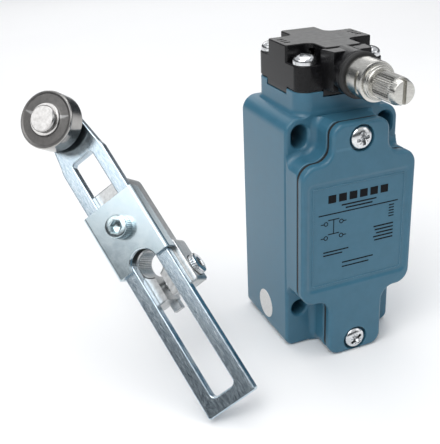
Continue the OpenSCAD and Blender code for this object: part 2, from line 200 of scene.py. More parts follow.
def rounded(z0, z1, r0=0.0, r1=0.0, steps=5):
    """Levels (height, growth) of a prism with rounded lower and upper edges."""
    levels = []
    if r0 > 0:
        for k in range(steps):
            a = math.pi / 2 * k / steps
            levels.append((z0 + r0 * (1 - math.cos(a)), -r0 * (1 - math.sin(a))))
    levels.append((z0 + r0, 0.0))
    if z1 - r1 > z0 + r0 + 1e-6:
        levels.append((z1 - r1, 0.0))
    if r1 > 0:
        for k in range(1, steps + 1):
            a = math.pi / 2 * k / steps
            levels.append((z1 - r1 * (1 - math.sin(a)), -r1 * (1 - math.cos(a))))
    return levels


def footed(z0, z1, foot, r1=0.0, steps=6):
    """Levels of a prism that spreads at its foot in a concave fillet."""
    levels = []
    for k in range(steps):
        a = math.pi / 2 * k / steps
        levels.append((z0 + foot * (1 - math.cos(a)), foot * (1 - math.sin(a))))
    return levels + rounded(z0 + foot, z1, 0.0, r1)


def cap_triangles(rings):
    """Triangles of the first ring of 2D points less the others, which are convex holes, with no slivers."""
    points, edges, owner = [], [], []
    for number, ring in enumerate(rings):
        first, n = len(points), len(ring)
        points += [Vector(p) for p in ring]
        owner += [number] * n
        edges += [(first + i, first + (i + 1) % n) for i in range(n)]
    inside = 1
    found = delaunay_2d_cdt(points, edges, [], inside, 1e-6)
    triangles = [[found[3][i][0] for i in face] for face in found[2]]
    # a triangle with all its corners on one hole's ring fills that hole
    return [t for t in triangles if len({owner[i] for i in t}) > 1 or owner[t[0]] == 0]


def stack(name, outline, levels, holes=(), matrix=UPRIGHT):
    """A solid of one outline at several levels, with holes that widen as the outline shrinks."""
    verts, faces, ends = [], [], []
    loops = [(outline, 1)] + [(hole, -1) for hole in holes]
    for loop, sense in loops:
        first, n = len(verts), len(loop)
        for z, growth in levels:
            verts += [(x, y, z) for x, y in grown(loop, growth * sense)]
        for k in range(len(levels) - 1):
            for i in range(n):
                a, b = first + k * n + i, first + k * n + (i + 1) % n
                quad = (a, b, b + n, a + n)
                faces.append(quad if sense > 0 else quad[::-1])
        ends.append((first, first + (len(levels) - 1) * n, n))
    for which, flip in ((0, True), (1, False)):
        index = [i for end in ends for i in range(end[which], end[which] + end[2])]
        rings = [[verts[i][:2] for i in range(end[which], end[which] + end[2])] for end in ends]
        for triangle in cap_triangles(rings):
            a, b, c = (index[i] for i in triangle)
            upwards = (Vector(verts[b]) - Vector(verts[a])).cross(Vector(verts[c]) - Vector(verts[a])).z > 0
            faces.append((a, b, c) if upwards != flip else (a, c, b))
    return new_object(name, verts, faces, matrix)


def lathe(name, profile, matrix=UPRIGHT, steps=64, closed=False, wobble=None):
    """Turns a profile of (radius, height) round the Z axis. A closed profile makes a ring."""
    verts, faces = [], []
    for k, (r, z) in enumerate(profile):
        for i in range(steps):
            a = 2 * math.pi * i / steps
            radius = r + (wobble(k, i) if wobble else 0.0)
            verts.append((radius * math.cos(a), radius * math.sin(a), z))
    rows = len(profile)
    for k in range(rows if closed else rows - 1):
        for i in range(steps):
            a, b = k * steps + i, k * steps + (i + 1) % steps
            c, d = ((k + 1) % rows) * steps + (i + 1) % steps, ((k + 1) % rows) * steps + i
            faces.append((a, b, c, d))
    if not closed:
        faces.append(tuple(range(steps))[::-1])
        faces.append(tuple((rows - 1) * steps + i for i in range(steps)))
    obj = new_object(name, verts, faces, matrix)
    outwards(obj)
    return obj


def outwards(obj):
    bm = bmesh.new()
    bm.from_mesh(obj.data)
    bmesh.ops.recalc_face_normals(bm, faces=bm.faces)
    bm.to_mesh(obj.data)
    bm.free()


def block(name, low, high, matrix=UPRIGHT, edge=0.0):
    """A box between two corners, with its lower and upper edges rounded."""
    hx, hy = (high[0] - low[0]) / 2, (high[1] - low[1]) / 2
    cx, cy = (high[0] + low[0]) / 2, (high[1] + low[1]) / 2
    outline = [(cx - hx, cy - hy), (cx + hx, cy - hy), (cx + hx, cy + hy), (cx - hx, cy + hy)]
    return stack(name, outline, rounded(low[2], high[2], edge, edge, 3), (), matrix)


def cylinder(name, r, z0, z1, x=0.0, y=0.0, matrix=UPRIGHT, steps=48):
    return stack(name, circle(r, x, y, steps), rounded(z0, z1), (), matrix)


def evaluated_mesh(obj):
    graph = bpy.context.evaluated_depsgraph_get()
    return bpy.data.meshes.new_from_object(obj.evaluated_get(graph))


def combine(obj, tools, operation="DIFFERENCE"):
    """Cuts the tools out of obj, adds them or keeps what they share, and removes the tools."""
    for tool in tools:
        modifier = obj.modifiers.new("combine", "BOOLEAN")
        modifier.operation = operation
        modifier.solver = "EXACT"
        modifier.object = tool
    bpy.context.view_layer.update()
    old, obj.data = obj.data, evaluated_mesh(obj)
    obj.modifiers.clear()
    bpy.data.meshes.remove(old)
    for tool in tools:
        mesh = tool.data
        bpy.data.objects.remove(tool)
        bpy.data.meshes.remove(mesh)
    return obj


def joined(name, objects):
    """One object from several, in the first one's frame."""
    target = objects[0]
    bm = bmesh.new()
    for obj in objects:
        before = len(bm.verts)
        bm.from_mesh(obj.data)
        bm.verts.ensure_lookup_table()
        change = target.matrix_world.inverted() @ obj.matrix_world
        bmesh.ops.transform(bm, matrix=change, verts=bm.verts[before:])
    bm.to_mesh(target.data)
    bm.free()
    for obj in objects[1:]:
        bpy.data.objects.remove(obj)
    target.name = name
    return target


def finished(obj, body, finish, nodes=(), angle=35.0):
    """Welds, shades and paints a piece, and rides it on its body."""
    bm = bmesh.new()
    bm.from_mesh(obj.data)
    bmesh.ops.remove_doubles(bm, verts=bm.verts, dist=2e-6)
    bmesh.ops.dissolve_degenerate(bm, edges=bm.edges, dist=1e-6)
    bm.to_mesh(obj.data)
    bm.free()
    obj.data.shade_smooth()
    obj.data.set_sharp_from_angle(angle=math.radians(angle))
    weighted = obj.modifiers.new("flat faces", "WEIGHTED_NORMAL")
    weighted.keep_sharp = True
    obj.data.materials.clear()
    obj.data.materials.append(finish)
    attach(obj, body)
    if nodes:
        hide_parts(*nodes)
    return obj


# ---------------------------------------------------------------- materials
COAT_ROUGHNESS = 0.12
TONE_SPREAD = 0.18
RELIEF_M = 0.00004


def skin(name, dark, light, rough, metallic=0.0, grain=900.0, fine=6000.0, bump=0.15,
         stretch=(1, 1, 1), rough_swing=0.08, coat=0.0, edge_highlight_and_wear=0.0, edge_highlight_and_wear_color=None, shine=0.5):
    """A procedural finish: blotches of two tones, roughness that follows them, fine bump, and convex edges painted
    lighter as a painted edge highlight that also serves as edge wear.
    """
    mat = bpy.data.materials.new(name)
    mat.use_nodes = True
    nodes, links = mat.node_tree.nodes, mat.node_tree.links
    nodes.clear()
    out = nodes.new("ShaderNodeOutputMaterial")
    shader = nodes.new("ShaderNodeBsdfPrincipled")
    shader.inputs["Metallic"].default_value = metallic
    shader.inputs["Specular IOR Level"].default_value = shine
    shader.inputs["Coat Weight"].default_value = coat
    shader.inputs["Coat Roughness"].default_value = COAT_ROUGHNESS
    links.new(shader.outputs["BSDF"], out.inputs["Surface"])
    place = nodes.new("ShaderNodeTexCoord")
    mapping = nodes.new("ShaderNodeMapping")
    mapping.inputs["Scale"].default_value = stretch
    links.new(place.outputs["Object"], mapping.inputs["Vector"])

    blotch = nodes.new("ShaderNodeTexNoise")
    blotch.inputs["Scale"].default_value = grain
    blotch.inputs["Detail"].default_value = 5.0
    blotch.inputs["Roughness"].default_value = 0.6
    links.new(mapping.outputs["Vector"], blotch.inputs["Vector"])
    tones = nodes.new("ShaderNodeValToRGB")
    tones.color_ramp.elements[0].position = 0.5 - TONE_SPREAD
    tones.color_ramp.elements[1].position = 0.5 + TONE_SPREAD
    tones.color_ramp.elements[0].color = (*dark, 1)
    tones.color_ramp.elements[1].color = (*light, 1)
    links.new(blotch.outputs["Fac"], tones.inputs["Fac"])
    colour = tones.outputs["Color"]
    # Painted highlight: convex edges, found by Pointiness, are mixed towards a lighter colour in place of light
    # caught on rounded edges; this also serves as edge wear.
    if edge_highlight_and_wear > 0:
        shape = nodes.new("ShaderNodeNewGeometry")
        edges = nodes.new("ShaderNodeMapRange")
        edges.inputs["From Min"].default_value = 0.52
        edges.inputs["From Max"].default_value = 0.60
        edges.inputs["To Max"].default_value = edge_highlight_and_wear
        links.new(shape.outputs["Pointiness"], edges.inputs["Value"])
        mix = nodes.new("ShaderNodeMix")
        mix.data_type = "RGBA"
        links.new(edges.outputs["Result"], mix.inputs["Factor"])
        links.new(colour, mix.inputs["A"])
        mix.inputs["B"].default_value = (*(edge_highlight_and_wear_color or light), 1)
        colour = mix.outputs["Result"]
    links.new(colour, shader.inputs["Base Color"])

    polish = nodes.new("ShaderNodeMapRange")
    polish.inputs["To Min"].default_value = max(0.03, rough - rough_swing)
    polish.inputs["To Max"].default_value = rough + rough_swing
    links.new(blotch.outputs["Fac"], polish.inputs["Value"])
    links.new(polish.outputs["Result"], shader.inputs["Roughness"])

    texture = nodes.new("ShaderNodeTexNoise")
    texture.inputs["Scale"].default_value = fine
    texture.inputs["Detail"].default_value = 3.0
    links.new(mapping.outputs["Vector"], texture.inputs["Vector"])
    relief = nodes.new("ShaderNodeBump")
    relief.inputs["Strength"].default_value = bump
    relief.inputs["Distance"].default_value = RELIEF_M
    links.new(texture.outputs["Fac"], relief.inputs["Height"])
    links.new(relief.outputs["Normal"], shader.inputs["Normal"])
    return mat


LATHED_Y = (1, 14, 1)
LATHED_Z = (1, 1, 14)
BRUSHED_ARM = (5, 1, 1)
SKINS = {
    # blue_paint: the lighter blue on convex edges is a painted edge highlight.
    "blue_paint": skin("blue_paint", (0.040, 0.140, 0.212), (0.046, 0.154, 0.232), 0.34, grain=260,
                       fine=2600, bump=0.10, coat=0.08, rough_swing=0.05, edge_highlight_and_wear=0.35, shine=0.4,
                       edge_highlight_and_wear_color=(0.10, 0.24, 0.33)),
    # black_paint: the dark grey on convex edges is a painted edge highlight.
    "black_paint": skin("black_paint", (0.004, 0.004, 0.0045), (0.008, 0.008, 0.009), 0.24, grain=500,
                        fine=3200, bump=0.12, edge_highlight_and_wear=0.3, edge_highlight_and_wear_color=(0.05, 0.05, 0.05), shine=0.22),
    "rubber": skin("rubber", (0.008, 0.008, 0.008), (0.020, 0.020, 0.020), 0.62, grain=1500, bump=0.4),
    "bright_zinc": skin("bright_zinc", (0.60, 0.61, 0.62), (0.84, 0.85, 0.86), 0.20, 1.0, grain=1400,
                        fine=5200, bump=0.18),
    "blue_zinc": skin("blue_zinc", (0.42, 0.53, 0.58), (0.70, 0.80, 0.82), 0.22, 1.0, grain=1300,
                      fine=5200, bump=0.18),
    "stainless": skin("stainless", (0.50, 0.49, 0.46), (0.72, 0.71, 0.67), 0.24, 1.0, grain=500,
                      fine=1900, bump=0.30, stretch=LATHED_Y),
    "pin_steel": skin("pin_steel", (0.42, 0.41, 0.40), (0.60, 0.59, 0.58), 0.22, 1.0, grain=700,
                      fine=2200, bump=0.15, stretch=LATHED_Z),
    "spring_steel": skin("spring_steel", (0.32, 0.33, 0.35), (0.55, 0.56, 0.58), 0.28, 1.0, grain=900),
    "brass": skin("brass", (0.55, 0.38, 0.14), (0.78, 0.60, 0.28), 0.26, 1.0, grain=900, bump=0.2),
    "ivory_plastic": skin("ivory_plastic", (0.58, 0.54, 0.42), (0.64, 0.60, 0.49), 0.42, grain=700,
                          bump=0.15),
    "grey_plastic": skin("grey_plastic", (0.030, 0.030, 0.033), (0.045, 0.045, 0.048), 0.45, grain=700,
                         bump=0.2),
    "green_zinc": skin("green_zinc", (0.10, 0.32, 0.16), (0.22, 0.48, 0.26), 0.28, 1.0, grain=1200),
    "cast_zinc": skin("cast_zinc", (0.46, 0.47, 0.47), (0.66, 0.67, 0.67), 0.36, 1.0, grain=800,
                      fine=2400, bump=0.45, rough_swing=0.12),
    "zinc_plate": skin("zinc_plate", (0.40, 0.50, 0.58), (0.62, 0.71, 0.77), 0.23, 1.0, grain=520,
                       fine=2600, bump=0.20, stretch=BRUSHED_ARM, rough_swing=0.10),
    "zinc_smooth": skin("zinc_smooth", (0.50, 0.60, 0.65), (0.60, 0.69, 0.73), 0.20, 1.0, grain=240,
                        fine=2400, bump=0.10),
    "dark_steel": skin("dark_steel", (0.05, 0.06, 0.07), (0.10, 0.12, 0.13), 0.30, 1.0, grain=900),
    # roller_face: light grey on convex edges, partly a painted edge highlight and partly rubbed metal.
    "roller_face": skin("roller_face", (0.105, 0.102, 0.100), (0.145, 0.140, 0.136), 0.38, 0.9,
                        grain=900, fine=3000, bump=0.35, edge_highlight_and_wear=0.5, edge_highlight_and_wear_color=(0.5, 0.5, 0.5)),
    "sticker_film": skin("sticker_film", (0.70, 0.69, 0.67), (0.80, 0.79, 0.77), 0.35, grain=900,
                         bump=0.1),
    "ink": skin("ink", (0.002, 0.003, 0.004), (0.005, 0.006, 0.008), 0.38, grain=1200, bump=0.1, shine=0.1),
}


# ---------------------------------------------------------------- fasteners
THREAD_CORE = 0.86


def shank(d, length):
    """Profile of a threaded shank from its tip upwards."""
    profile = [(0.2, -length), (d / 2 * 0.8, -length)]
    pitch = d * 0.17
    for k in range(int((length - 0.6) / pitch)):
        z = -length + 0.3 + k * pitch
        profile += [(d / 2 * THREAD_CORE, z), (d / 2, z + pitch / 2)]
    return profile


def pan_head(name, d, head_d, head_h, length):
    """Domed pan head on Z = 0 with a cross recess, its threaded shank below."""
    dome = []
    for k in range(9):
        a = math.pi / 2 * k / 8
        dome.append((head_d / 2 * math.cos(a) ** 0.75 + 0.001, head_h * (0.34 + 0.66 * math.sin(a))))
    profile = shank(d, length)
    profile += [(d / 2 * THREAD_CORE, -0.3), (d / 2 * 0.9, 0), (head_d / 2 - 0.15, 0), (head_d / 2, 0.15)]
    profile += dome
    screw = lathe(name, profile, UPRIGHT, 48)
    wing, arm = head_d * 0.30, head_d * 0.075
    depth = head_h * 0.72
    cross = tidy([(wing, -arm), (wing, arm), (arm, arm), (arm, wing), (-arm, wing), (-arm, arm),
                  (-wing, arm), (-wing, -arm), (-arm, -arm), (-arm, -wing), (arm, -wing), (arm, -arm)])
    taper = [(head_h - depth, -0.35 * arm), (head_h * 1.2, 0.05)]
    core = [(head_h - depth * 1.1, -head_d * 0.09), (head_h * 1.2, 0.0)]
    tools = [stack("cross", cross, taper),
             stack("core", circle(head_d * 0.155, 0, 0, 24), core)]
    long, half = head_d * 0.27, 0.12
    tick = tidy([(long, -half), (long, half), (-long, half), (-long, -half)])
    for angle in (45, 135):
        tools.append(stack("tick", tick, [(head_h * 0.80, 0), (head_h * 1.2, 0)], (), turned(angle)))
    return combine(screw, tools)


def socket_head(name, d, head_d, head_h, key, length, matrix=UPRIGHT):
    """Cap screw on Z = 0 with a hexagon socket and a knurled rim."""
    r = head_d / 2
    profile = shank(d, length)
    profile += [(d / 2 * 0.88, -0.3), (d / 2 * 0.88, 0), (r - 0.2, 0), (r, 0.2)]
    plain = len(profile)
    profile += [(r, head_h * 0.3), (r, head_h * 0.7)]
    profile += [(r, head_h - 0.45), (r - 0.12, head_h - 0.15), (r - 0.45, head_h), (0.2, head_h)]

    def knurl(k, i):
        return -0.16 * (i % 2) if plain <= k < plain + 2 else 0.0

    screw = lathe(name, profile, matrix, 72, wobble=knurl)
    hexagon = tidy([(key / math.sqrt(3) * math.cos(math.radians(60 * i + 20)),
                     key / math.sqrt(3) * math.sin(math.radians(60 * i + 20))) for i in range(6)])
    tools = [stack("key", hexagon, [(head_h * 0.38, 0), (head_h - 0.3, 0), (head_h + 0.2, 0.5)], (), matrix),
             lathe("drill", [(0.05, head_h * 0.2), (key * 0.42, head_h * 0.38), (key * 0.42, head_h)],
                   matrix, 24)]
    return combine(screw, tools)


def copies(name, obj, places):
    """One object made of a copy of obj at each of the places, which are matrices in metres."""
    source = obj.data
    bm = bmesh.new()
    for place in places:
        before = len(bm.verts)
        bm.from_mesh(source)
        bm.verts.ensure_lookup_table()
        bmesh.ops.transform(bm, matrix=place, verts=bm.verts[before:])
    bm.to_mesh(source)
    bm.free()
    obj.name = name
    return obj


def turned(degrees):
    return Matrix.Rotation(math.radians(degrees), 4, "Z")


def at(x, y, z, turn=UPRIGHT):
    return Matrix.Translation(Vector((x, y, z)) * MM) @ turn


# ---------------------------------------------------------------- housing
CAVITY = dict(hw=17.3, low=-20.5, top=21.5)
GROUND_AT = (13, -16.5)
CONDUIT_Y = -16


def head_corners():
    return [(sx * HEAD_SCREW_AT, HEAD_Y + sy * HEAD_SCREW_AT) for sx in (-1, 1) for sy in (-1, 1)]


def side_turns():
    return [at(0, HEAD_Y, 0, turned(a)) for a in (0, 90, 180, 270)]


def make_housing():
    body_outline = panel(BODY_HW, BASE_Z, SHOULDER_Z, 3, 5, 10)
    body = stack("housing_shell", body_outline, rounded(0, FLANGE_Y, 0.5, 1.1), (), FORWARD)
    seat = stack("seat", cover_outline(), footed(FLANGE_Y - 0.1, SEAT_Y, 2.6, 0.5), (), FORWARD)
    clip = stack("clip", grown(body_outline, -0.25), rounded(FLANGE_Y - 4, SEAT_Y + 2), (), FORWARD)
    combine(seat, [clip], "INTERSECT")
    under = stack("under", cover_outline(-0.3), rounded(FLANGE_Y - 3, FLANGE_Y + 0.5), (), FORWARD)
    spread = 2.6
    rise = [(SHOULDER_Z - 2.5, spread)] + footed(SHOULDER_Z - 0.9, NECK_TOP, spread, 0.35)
    neck = stack("neck", square(30.4, 5, 10), rise, (), at(0, HEAD_Y, 0))
    keep = block("keep", (-BODY_HW + 0.2, -FLANGE_Y + 0.02, SHOULDER_Z - 5),
                 (BODY_HW - 0.2, -0.02, NECK_TOP + 5))
    combine(neck, [keep], "INTERSECT")
    root = stack("root", square(30.2, 5, 10), rounded(SHOULDER_Z - 6, SHOULDER_Z + 0.5), (),
                 at(0, HEAD_Y, 0))
    combine(body, [seat, under, neck, root], "UNION")

    tools = [
        stack("chamber", panel(CAVITY["hw"], CAVITY["low"], CAVITY["top"], 2, 2),
              rounded(3, SEAT_Y + 2), (), FORWARD),
        stack("way_front", panel(7.5, -32.5, -15, 2, 1), rounded(SEAT_Y - 9, SEAT_Y + 2), (), FORWARD),
        stack("way_back", panel(10, -32.5, -15, 0.7, 1), rounded(3.01, SEAT_Y - 8), (), FORWARD),
        stack("gallery", panel(7.5, 16, 26.5, 1, 1), rounded(9, 24), (), FORWARD),
        cylinder("plunger_bore", 6, 31, NECK_TOP + 3, 0, HEAD_Y),
        cylinder("guide_bore", 4, 20, 35, 0, HEAD_Y),
        cylinder("conduit", 10.1, BASE_Z - 2, -32.6, 0, CONDUIT_Y, UPRIGHT, 64),
        cylinder("mouth", 9.3, -34, -25, 0, CONDUIT_Y, UPRIGHT, 64),
    ]
    for x in (-HOLE_X, HOLE_X):
        mouth = [(-1, 0), (FLANGE_Y - 0.9, 0), (FLANGE_Y - 0.35, 0.25), (FLANGE_Y + 0.1, 0.85),
                 (SEAT_Y + 2, 0.9)]
        low = circle(HOLE_R, x, -HOLE_Z, 32)
        tools.append(stack("hole", low, mouth, (), FORWARD))
        tools.append(stack("slot", slot_outline(HOLE_R, x, HOLE_Z, 1.0), mouth, (), FORWARD))
    for z in COVER_SCREWS_Z:
        tools.append(cylinder("cover_hole", 2.3, SEAT_Y - 12, SEAT_Y + 2, 0, z, FORWARD))
    for x, y in head_corners():
        tools.append(cylinder("head_hole", 2.05, NECK_TOP - 7, NECK_TOP + 2, x, y, UPRIGHT, 24))
    for turn in side_turns():
        tools.append(block("notch", (15.2 - 3.2, -7.0, 41.3), (15.2 + 1.5, 7.0, NECK_TOP + 2), turn))
    for x in (-11.3, 11.3):
        tools.append(cylinder("block_hole", 1.5, 1, 5, x, -8.5, FORWARD, 24))
    combine(body, tools)
    x, z = GROUND_AT
    boss = stack("boss", circle(3.8, x, z, 32), rounded(2.5, 5.5, 0, 0.3), [circle(2.0, x, z, 24)], FORWARD)
    combine(body, [boss], "UNION")
    nick = block("nick", (-BODY_HW - 0.5, -23.3, BASE_Z - 0.5), (-BODY_HW + 0.45, -22.5, BASE_Z + 1.7))
    combine(body, [nick])
    return finished(body, "root", SKINS["blue_paint"], ["housing"], 32)


def make_conduit_thread():
    """The machined thread of the conduit entry, as a helical ridge inside a sleeve."""
    pitch, crest, root, outer = 1.5, 9.27, 9.95, 10.08
    z0, z1, steps, per_turn = BASE_Z + 0.9, -32.7, 64, 8
    rows = int((z1 - z0) / pitch * per_turn)
    verts, faces = [], []
    for k in range(rows + 1):
        z = z0 + (z1 - z0) * k / rows
        for i in range(steps):
            a = 2 * math.pi * i / steps
            phase = ((z - z0) / pitch - i / steps) % 1.0
            wave = abs(2 * phase - 1)
            r = crest + (root - crest) * min(1.0, max(0.0, 1.35 * wave - 0.175))
            verts.append((r * math.cos(a), CONDUIT_Y + r * math.sin(a), z))
    base = len(verts)
    for z in (z0 - 0.75, z1):
        for i in range(steps):
            a = 2 * math.pi * i / steps
            verts.append((outer * math.cos(a), CONDUIT_Y + outer * math.sin(a), z))
    for k in range(rows):
        for i in range(steps):
            a, b = k * steps + i, k * steps + (i + 1) % steps
            faces.append((a, a + steps, b + steps, b))
    for i in range(steps):
        j = (i + 1) % steps
        low, high = base, base + steps
        faces.append((i, j, low + j, low + i))
        faces.append((low + i, low + j, high + j, high + i))
        faces.append((high + i, high + j, rows * steps + j, rows * steps + i))
    thread = new_object("conduit_thread", verts, faces)
    outwards(thread)
    return finished(thread, "root", SKINS["cast_zinc"], (), 40)


# ---------------------------------------------------------------- cover and its print
PANEL = dict(hw=17.3, low=-17.6, top=17.9)


def make_cover():
    plate = stack("cover_plate", cover_outline(), rounded(COVER_BACK, COVER_FRONT, 0.55, 1.15, 6), (),
                  FORWARD)
    rim = stack("rim", panel(16.8, -20, 21, 2, 2), rounded(COVER_BACK - 2.4, COVER_BACK + 0.4),
                [panel(15.4, -18.6, 19.6, 1, 1)], FORWARD)
    combine(plate, [rim], "UNION")
    sunk = panel(PANEL["hw"], PANEL["low"], PANEL["top"], 1.2, 1.2)
    slope = [(COVER_FRONT - 0.5, -0.3), (COVER_FRONT - 0.47, 0.0), (COVER_FRONT - 0.38, 0.25),
             (COVER_FRONT - 0.12, 0.75), (COVER_FRONT - 0.03, 1.05), (COVER_FRONT + 0.01, 1.4),
             (COVER_FRONT + 1, 1.42)]
    tools = [stack("sunk", sunk, slope, (), FORWARD)]
    for z in COVER_SCREWS_Z:
        tools.append(cylinder("hole", 2.2, COVER_BACK - 1, COVER_FRONT + 1, 0, z, FORWARD))
        lip = [(COVER_FRONT - 1.7, -0.1), (COVER_FRONT - 0.35, 0), (COVER_FRONT - 0.08, 0.12),
               (COVER_FRONT + 0.05, 0.4), (COVER_FRONT + 1, 0.4)]
        tools.append(stack("recess", circle(4.2, 0, z, 48), lip, (), FORWARD))
    combine(plate, tools)
    bead = panel(PANEL["hw"] - 0.9, PANEL["low"] + 0.9, PANEL["top"] - 0.9, 1.0, 1.0)
    floor_y = COVER_FRONT - 0.5
    ridge = stack("ridge", bead, [(floor_y - 0.2, 0), (floor_y + 0.05, 0), (floor_y + 0.2, -0.12)],
                  [grown(bead, -0.45)], FORWARD)
    combine(plate, [ridge], "UNION")
    return finished(plate, "cover_body", SKINS["blue_paint"], ["cover"], 32)


def bar(x0, x1, z0, z1, base, thick=0.05):
    """A printed rectangle on the panel."""
    outline = [(x0, z0), (x1, z0), (x1, z1), (x0, z1)]
    return stack("bar", outline, rounded(base - 0.02, base + thick), (), FORWARD)


def ring(x, z, r, width, base, thick=0.05):
    return stack("ring", circle(r, x, z, 40), rounded(base - 0.02, base + thick),
                 [circle(r - width, x, z, 40)], FORWARD)


def make_print():
    """Generic marks: a block pattern, a rule, ticks and a plain changeover contact diagram."""
    base = COVER_FRONT - 0.5
    marks = [bar(-14.2, 14.2, 7.5, 7.85, base)]
    for k in range(6):
        marks.append(bar(-10.9 + k * 3.7, -8.2 + k * 3.7, 11.3, 13.9, base))
    for k, half in enumerate((6.2, 4.8)):
        marks.append(bar(-half, half, 9.75 - k * 1.1, 10.2 - k * 1.1, base))
    for k in range(5):
        marks.append(bar(11.0, 12.9, 6.3 - k * 0.95, 6.65 - k * 0.95, base))
    for k in range(5):
        marks.append(bar(5.6 + 0.5 * (k % 3), 12.9, -0.2 - k * 1.2, 0.25 - k * 1.2, base))
    for k in range(2):
        marks.append(bar(-12.4, -3.4 - k * 2.2, -5.4 - k * 1.1, -5.0 - k * 1.1, base))
    for k in range(2):
        marks.append(bar(-5.6, 5.8 - k * 1.6, -10.2 - k * 1.5, -9.8 - k * 1.5, base))
    for z in (4.6, -0.2):
        marks += [ring(-11.6, z, 0.75, 0.26, base), ring(-6.2, z, 0.75, 0.26, base),
                  bar(-10.85, -6.95, z + 0.95, z + 1.25, base)]
        marks += [bar(-13.4, -12.35, z - 0.14, z + 0.14, base), bar(-5.45, -4.4, z - 0.14, z + 0.14, base)]
    marks.append(bar(-9.04, -8.76, 0.75, 5.85, base))
    ink = joined("panel_print", marks)
    return finished(ink, "cover_body", SKINS["ink"])


def make_cover_screws():
    places = [at(0, -(COVER_FRONT - 1.7), z, FORWARD) @ turned(turn)
              for z, turn in zip(COVER_SCREWS_Z, (12, 38))]
    screw = pan_head("screw", 4, 7.4, 2.5, 11.9)
    return finished(copies("cover_screw_pair", screw, places), "cover_body", SKINS["bright_zinc"],
                    ["cover_screws"], 32)


# ---------------------------------------------------------------- head
def plateau_outline():
    """Cross shape left between the four corner pockets, seen from above."""
    w, a, r, tip = 15.0, 6.3, 2.6, 0.8
    right = (arc(a - tip, w - tip, tip, 90, 0, 4) + arc(a + r, a + r, r, 180, 270, 8)
             + arc(w - tip, a - tip, tip, 90, 0, 4))
    right += [(x, -y) for x, y in reversed(right)]
    return tidy(both_sides(right))


def make_head():
    here = at(0, HEAD_Y, 0)
    base = stack("head_casting", square(30, 4, 10), rounded(HEAD_BOTTOM, POCKET_FLOOR, 0.2, 0.5), (), here)
    top = stack("plateau", plateau_outline(), rounded(50.5, HEAD_TOP, 0, 0.45), (), here)
    parts = [top]
    for turn in side_turns():
        parts.append(block("skirt", (12.4, -6.8, 41.5), (15.0, 6.8, HEAD_BOTTOM + 1.5), turn, 0.2))
    profile = [(0.3, 30), (6.9, 30), (6.9, 38.9), (6.75, 39.6), (6.4, 40.0), (0.3, 40.0)]
    parts.append(lathe("boss", profile, shaft_frame(), 64))
    flare = tidy([(-7.6, 0), (7.6, 0), (6.35, 5.6), (-6.35, 5.6)])
    low, high = SHAFT_Z - 5.4, HEAD_TOP - 0.35
    wedge = at(0, -31.0, 0, Matrix.Rotation(math.pi, 4, "X"))
    parts.append(stack("wedge", flare, rounded(-high, -low, 0.3, 0.3, 3), (), wedge))
    combine(base, parts, "UNION")
    tools = [
        block("chamber", (-7.5, -25, HEAD_BOTTOM - 1), (7.5, -9, 54.8)),
        cylinder("rear_bearing", 3.05, 4, 12, 0, SHAFT_Z, FORWARD, 32),
        cylinder("front_seat", 5.32, 24, 38, 0, SHAFT_Z, FORWARD, 64),
        cylinder("front_mouth", 6.02, 37, 41, 0, SHAFT_Z, FORWARD, 64),
    ]
    for x, y in head_corners():
        tools.append(cylinder("screw_hole", 2.2, HEAD_BOTTOM - 1, 60, x, y, UPRIGHT, 32))
    combine(base, tools)
    return finished(base, "root", SKINS["black_paint"], ["head"], 32)


def make_head_marks():
    """Plain raised ticks near the plateau's left and right edges, which show where the head can be set."""
    marks = []
    for side in (-1, 1):
        for k in range(3):
            x = side * 12.6
            y = HEAD_Y + (k - 1) * 2.3
            marks.append(block("mark", (x - 1.0, y - 0.3, HEAD_TOP - 0.05),
                               (x + 1.0, y + 0.3, HEAD_TOP + 0.12), UPRIGHT, 0.03))
    return finished(joined("head_position_marks", marks), "root", SKINS["black_paint"])


def make_head_screws():
    places = [at(x, y, POCKET_FLOOR) @ turned(20 + 25 * k) for k, (x, y) in enumerate(head_corners())]
    screw = pan_head("screw", 3.9, 7.4, 2.9, 13.9)
    return finished(copies("head_screw_set", screw, places), "root", SKINS["bright_zinc"],
                    ["head_screws"], 32)


# ---------------------------------------------------------------- shaft
def shaft_frame():
    return at(0, 0, SHAFT_Z, FORWARD)


def make_bush():
    profile = [(4.45, 25), (5.3, 25), (5.3, 37.9), (6.0, 37.9), (6.0, 49.3), (5.85, 49.8), (5.5, 50),
               (4.6, 50), (4.45, 49.8)]
    bush = lathe("shaft_bearing_bush", profile, shaft_frame(), 72, closed=True)
    crescent = block("crescent", (-7.0, -48.3, SHAFT_Z - 6), (-5.0, -47.2, SHAFT_Z + 6))
    combine(bush, [crescent])
    return finished(bush, "root", SKINS["stainless"], ["shaft_bush"], 32)


def make_seal():
    profile = [(6.03, 40.05)]
    for k in range(9):
        a = math.pi * k / 8
        profile.append((6.35 + 0.72 * math.sin(a), 41.1 - 1.02 * math.cos(a)))
    profile.append((6.03, 42.15))
    seal = lathe("shaft_lip_seal", profile, shaft_frame(), 72, closed=True)
    return finished(seal, "root", SKINS["rubber"], ["shaft_seal"], 50)


